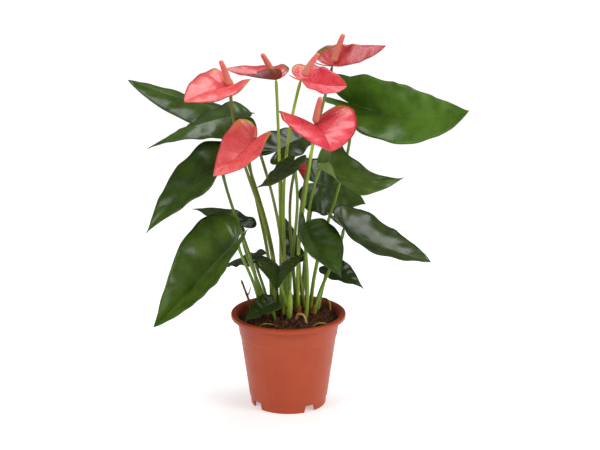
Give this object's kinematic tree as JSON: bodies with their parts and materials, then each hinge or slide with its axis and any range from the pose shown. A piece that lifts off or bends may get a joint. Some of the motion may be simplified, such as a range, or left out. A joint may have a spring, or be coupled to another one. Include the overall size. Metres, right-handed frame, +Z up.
{
  "type": "potted anthurium",
  "caption": "Potted anthurium with glossy heart-shaped leaves and coral waxy flowers on long stalks, in a round tapered plastic nursery pot filled with peat.",
  "frame": {"origin": "centre of the pot's base, on the surface the pot stands on", "axes": "+Z up along the pot's axis; -Y is the front, towards which the largest flower faces; +X is the plant's right seen from the front"},
  "size_m": [0.406, 0.2398, 0.458],
  "materials": {
    "leaf": "glossy dark green leaf, paler matte underside",
    "leaf_stalk": "smooth satin green",
    "flower_stalk": "smooth satin olive green",
    "spathe": "waxy, glossy coral pink",
    "spadix": "matte, finely bumpy",
    "root": "matte cream root skin",
    "dry_stalk": "dry, matte",
    "pot_plastic": "satin terracotta plastic",
    "peat": "rough, crumbly, dark"
  },
  "bodies": {
    "root": {"leaf_01_blade": "leaf", "leaf_01_petiole": "leaf_stalk", "leaf_02_blade": "leaf", "leaf_02_petiole": "leaf_stalk", "leaf_03_blade": "leaf", "leaf_03_petiole": "leaf_stalk", "leaf_04_blade": "leaf", "leaf_04_petiole": "leaf_stalk", "leaf_05_blade": "leaf", "leaf_05_petiole": "leaf_stalk", "leaf_06_blade": "leaf", "leaf_06_petiole": "leaf_stalk", "leaf_07_blade": "leaf", "leaf_07_petiole": "leaf_stalk", "leaf_08_blade": "leaf", "leaf_08_petiole": "leaf_stalk", "leaf_09_blade": "leaf", "leaf_09_petiole": "leaf_stalk", "leaf_10_blade": "leaf", "leaf_10_petiole": "leaf_stalk", "leaf_11_blade": "leaf", "leaf_11_petiole": "leaf_stalk", "leaf_12_blade": "leaf", "leaf_12_petiole": "leaf_stalk", "leaf_13_blade": "leaf", "leaf_13_petiole": "leaf_stalk", "leaf_14_blade": "leaf", "leaf_14_petiole": "leaf_stalk", "leaf_15_blade": "leaf", "leaf_15_petiole": "leaf_stalk", "leaf_16_blade": "leaf", "leaf_16_petiole": "leaf_stalk", "leaf_17_blade": "leaf", "leaf_17_petiole": "leaf_stalk", "flower_1_spathe": "spathe", "flower_1_spadix": "spadix", "flower_1_stalk": "flower_stalk", "flower_2_spathe": "spathe", "flower_2_spadix": "spadix", "flower_2_stalk": "flower_stalk", "flower_3_spathe": "spathe", "flower_3_spadix": "spadix", "flower_3_stalk": "flower_stalk", "flower_4_spathe": "spathe", "flower_4_spadix": "spadix", "flower_4_stalk": "flower_stalk", "flower_5_spathe": "spathe", "flower_5_spadix": "spadix", "flower_5_stalk": "flower_stalk", "flower_6_spathe": "spathe", "flower_6_spadix": "spadix", "flower_6_stalk": "flower_stalk", "flower_7_spathe": "spathe", "flower_7_spadix": "spadix", "flower_7_stalk": "flower_stalk", "root_1": "root", "root_2": "root", "old_stalk": "dry_stalk", "pot": "pot_plastic", "soil": "peat"}
  },
  "joints": []
}
